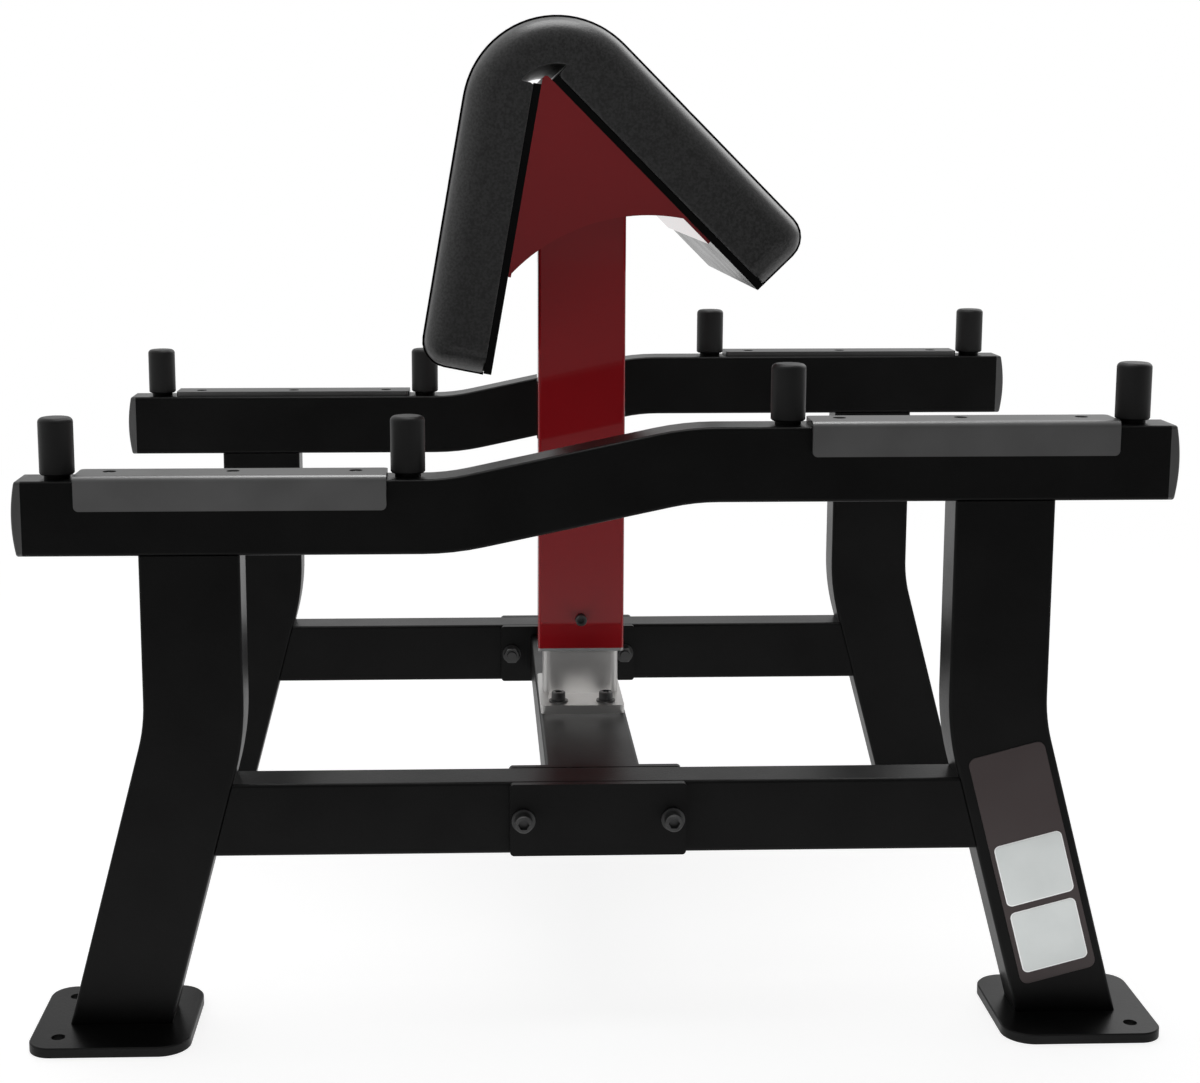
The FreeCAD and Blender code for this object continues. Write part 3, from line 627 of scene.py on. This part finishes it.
# %% Placard
plate_spot, plate_size = (0.4457, 0.1707), (0.0795, 0.250)
panels = {
    "upper": ((0.4474, 0.1654), (0.071, 0.067)),
    "lower": ((0.4657, 0.0937), (0.069, 0.067)),
}
border_width = 0.001
label_skin = dict(grain_scale=1200.0, cloud_scale=25.0, bump_strength=0.03, bump_depth=0.0002,
                  rough_low=0.34, rough_high=0.42)
label_shine = {"Specular IOR Level": 0.4}
film = grained_finish("charcoal label film", label_skin, (0.026, 0.0172, 0.0172, 1.0),
                      (0.029, 0.0196, 0.0196, 1.0), **label_shine)
border = grained_finish("white label border", label_skin, grey(0.50), grey(0.53), **label_shine)
panel = grained_finish("pale label panel", label_skin, (0.345, 0.361, 0.358, 1.0),
                       (0.375, 0.392, 0.388, 1.0), **label_shine)
plate_layer = dict(corner=0.008, back=-0.0002, front=0.0008, bevel=0.0003,
                   material=film, slot="rest_plastic")
border_layer = dict(corner=0.006, back=0.0006, front=0.0010, bevel=0.0001,
                    material=border, slot="collar_plastic")
panel_layer = dict(corner=0.005, back=0.0008, front=0.0012, bevel=0.0001,
                   material=panel, slot="collar_plastic")

label_plate("placard_plate", plate_spot, plate_size, **plate_layer)
for name, (centre, (width, height)) in panels.items():
    inner_size = (width - 2 * border_width, height - 2 * border_width)
    label_plate("placard_border_" + name, centre, (width, height), **border_layer)
    label_plate("placard_panel_" + name, centre, inner_size, **panel_layer)
print("placard panels:", list(panels))

# %% [markdown]
# ## Floor
# A large pale floor catches the shadow. To the camera it adds a white of its own, so the picture's ground is
# white and only the shadow shows, and far out the white takes over. Reflections see it as a grey that
# lightens towards the back. To the matt finishes it is a source of light, strongest just in front of the
# post: that is the bounce that lights the red paint from below. One white plane would be simpler, but the
# black tubes would then mirror too much of it.

# %% Floor
floor_reach, floor_drop = 14.0, 0.0004
corners = floor_reach * np.array([(-1, -1), (1, -1), (1, 1), (-1, 1)])
floor = add_piece("floor", np.column_stack([corners, np.full(4, -floor_drop)]), [(0, 1, 2, 3)], smooth=False)
print("floor", 2 * floor_reach, "m square")

# %% Floor finish
matt_level, glow_level = 0.42, 0.82
white_start, white_end = 1.6, 3.6
mirror_reach = 4.0
mirror_levels = {0.0: 0.16, 0.24: 0.28, 0.36: 0.44, 0.425: 0.60, 0.62: 0.62, 0.80: 0.90}
bounce_far, bounce_near, bounce_low, bounce_high = -1.3, -0.1, 0.5, 6.2
shade_front, shade_back, shade_level = -0.25, 0.15, 0.15


def combine(tree, operation, first, second, clamp=False):
    """Value worked out from two other values."""
    made = node(tree, "ShaderNodeMath", links={0: first, 1: second}, operation=operation, use_clamp=clamp)
    return made.outputs[0]


def blend(tree, share, first, second):
    """Shader that goes from the first to the second as the share grows."""
    return node(tree, "ShaderNodeMixShader", links={0: share, 1: first, 2: second}).outputs[0]


def make_floor_finish():
    """Camera: matt grey plus white, all white far out. Reflections: grey levels along y. Other rays: a bounce
    that grows towards the bench and fades behind it."""
    material = bpy.data.materials.new("pale studio floor")
    material.use_nodes = True
    tree = material.node_tree
    tree.nodes.clear()
    rays = node(tree, "ShaderNodeLightPath").outputs
    place = node(tree, "ShaderNodeTexCoord").outputs["Object"]
    depth = node(tree, "ShaderNodeSeparateXYZ", links={0: place}).outputs["Y"]
    away = node(tree, "ShaderNodeVectorMath", links={0: place}, operation="LENGTH").outputs["Value"]
    far = remap(tree, away, white_start, white_end, 0.0, 1.0, smooth=True)
    far_seen = combine(tree, "MULTIPLY", far, rays["Is Camera Ray"])
    matt = remap(tree, far_seen, 0.0, 1.0, matt_level, 0.0)
    glow = remap(tree, far_seen, 0.0, 1.0, glow_level, 1.0)
    ground = node(tree, "ShaderNodeBsdfDiffuse", links={"Color": matt})
    white = node(tree, "ShaderNodeEmission", {"Color": grey(1.0)}, {"Strength": glow})
    shown = node(tree, "ShaderNodeAddShader", links={0: ground.outputs[0], 1: white.outputs[0]})
    near = remap(tree, depth, bounce_far, bounce_near, bounce_low, bounce_high)
    behind = remap(tree, depth, shade_front, shade_back, 1.0, shade_level)
    bounce = node(tree, "ShaderNodeEmission", {"Color": grey(1.0)},
                  {"Strength": combine(tree, "MULTIPLY", near, behind)})
    along = remap(tree, depth, -mirror_reach, mirror_reach, 0.0, 1.0)
    mirror = colour_ramp(tree, along, {spot: grey(level) for spot, level in mirror_levels.items()})
    image = node(tree, "ShaderNodeEmission", {"Strength": 1.0}, {"Color": mirror})
    mirrored = combine(tree, "ADD", rays["Is Glossy Ray"], rays["Is Transmission Ray"])
    unseen = blend(tree, mirrored, bounce.outputs[0], image.outputs[0])
    mixed = blend(tree, rays["Is Camera Ray"], unseen, shown.outputs[0])
    node(tree, "ShaderNodeOutputMaterial", links={"Surface": mixed})
    return material


floor.data.materials.append(make_floor_finish())
print("floor finish:", floor.data.materials[0].name)

# %% [markdown]
# ## Background
# To the camera the studio is white. The paint mirrors a room that is dark in front and grows lighter towards
# the back left, with a pale ceiling and one bright corner behind on the right, which draws the light line
# along the pad's rear arm. The matt finishes get a softer version of that room. A plain white world would be
# the quick way, but every black face would turn grey in it.

# %% Background
left_back = (-0.35, 1.0, 0.0)
room_levels = {0.0: 0.20, 0.08: 0.34, 0.255: 0.46, 0.5: 0.52, 0.75: 0.60, 0.93: 0.66, 1.0: 0.80}
ceiling_zone = dict(direction=(-0.35, 0.25, 0.9), low=0.5, high=0.95, dark=0.0, light=0.45)
corner_zone = dict(direction=(0.557, 0.616, 0.557), low=0.84, high=1.0, dark=0.0, light=2.2)
matt_zone = dict(direction=left_back, low=-0.2, high=0.8, dark=0.05, light=1.0)
world = bpy.data.worlds.new("studio")
world.use_nodes = True
scene.world = world
tree = world.node_tree
tree.nodes.clear()
rays = node(tree, "ShaderNodeLightPath").outputs
toward = node(tree, "ShaderNodeTexCoord").outputs["Generated"]


def share_along(direction):
    """Share of the view that lies along a direction: the dot product of the two."""
    made = node(tree, "ShaderNodeVectorMath", {1: direction}, {0: toward}, operation="DOT_PRODUCT")
    return made.outputs["Value"]


def zone(direction, low, high, dark, light):
    """Level of the background: from dark to light as the share of the view along a direction grows."""
    return remap(tree, share_along(direction), low, high, dark, light, smooth=True)


room = colour_ramp(tree, remap(tree, share_along(left_back), -1.0, 1.0, 0.0, 1.0),
                   {spot: grey(level) for spot, level in room_levels.items()})
above = combine(tree, "ADD", zone(**ceiling_zone), zone(**corner_zone))
walls = combine(tree, "ADD", room, above)
level = combine(tree, "MAXIMUM", walls, rays["Is Camera Ray"])
backdrop = node(tree, "ShaderNodeBackground", {"Color": grey(1.0)}, {"Strength": level})
soft_room = node(tree, "ShaderNodeBackground", {"Color": grey(1.0)}, {"Strength": zone(**matt_zone)})
mirrored = combine(tree, "ADD", rays["Is Glossy Ray"], rays["Is Transmission Ray"])
seen = combine(tree, "ADD", rays["Is Camera Ray"], mirrored, clamp=True)
mixed = blend(tree, seen, soft_room.outputs[0], backdrop.outputs[0])
node(tree, "ShaderNodeOutputWorld", links={"Surface": mixed})
scene.view_settings.view_transform = "Standard"
print("background:", world.name)

# %% [markdown]
# ## Lamps
# A studio lights such a bench with a large soft box overhead and weak ones in front on both sides; these
# light only the matt part of a finish. The cards are pale boards that only show in reflections. One hangs
# overhead for the top faces. The other stands in front and is kept to the bright zinc of the post's base,
# because on the pad it would draw a second light line.

# %% Soft lamps
bench_middle = Vector((0, 0, 0.5))
lamps = {
    "overhead": dict(place=(0.0, -0.3, 3.1), size=(1.6, 1.6), power=21.0),
    "gloss_card": dict(place=(0.0, 0.1, 3.1), size=(1.5, 1.6), power=30.0),
    "bracket_card": dict(place=(0.0, -2.7, 2.3), size=(2.4, 1.5), power=56.0),
    "key": dict(place=(-2.2, -2.3, 1.6), size=(1.4, 1.4), power=1.0),
    "fill": dict(place=(2.3, -2.2, 1.5), size=(1.4, 1.4), power=0.8),
}
for name, row in lamps.items():
    lamp = bpy.data.objects.new(name, bpy.data.lights.new(name, "AREA"))
    lamp.data.shape = "RECTANGLE"
    lamp.data.size, lamp.data.size_y = row["size"]
    lamp.data.energy = row["power"]
    lamp.location = row["place"]
    lamp.rotation_euler = (bench_middle - lamp.location).to_track_quat("-Z", "Y").to_euler()
    lamp.visible_camera = False
    lamp.visible_glossy = name.endswith("card")
    lamp.visible_diffuse = not lamp.visible_glossy
    scene.collection.objects.link(lamp)
print("lamps:", list(lamps))

# %% Card for the post's base
bracket = bpy.data.collections.new("bracket")
for name in ("post_stub", "post_base_plate"):
    bracket.objects.link(nodes[name])
bpy.data.objects["bracket_card"].light_linking.receiver_collection = bracket

# %% [markdown]
# ## Places in the model
# The bench has no moving parts, so every new piece rides on its one body. The soft cover takes the place of
# the plain cushion of the construction.

# %% Ride and replace
arm_pad.data.materials.append(finishes["pad_vinyl"])
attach(arm_pad, "root")
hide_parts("arm_pad")
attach(pad_welt, "root")
print("the cover replaces the plain arm pad")
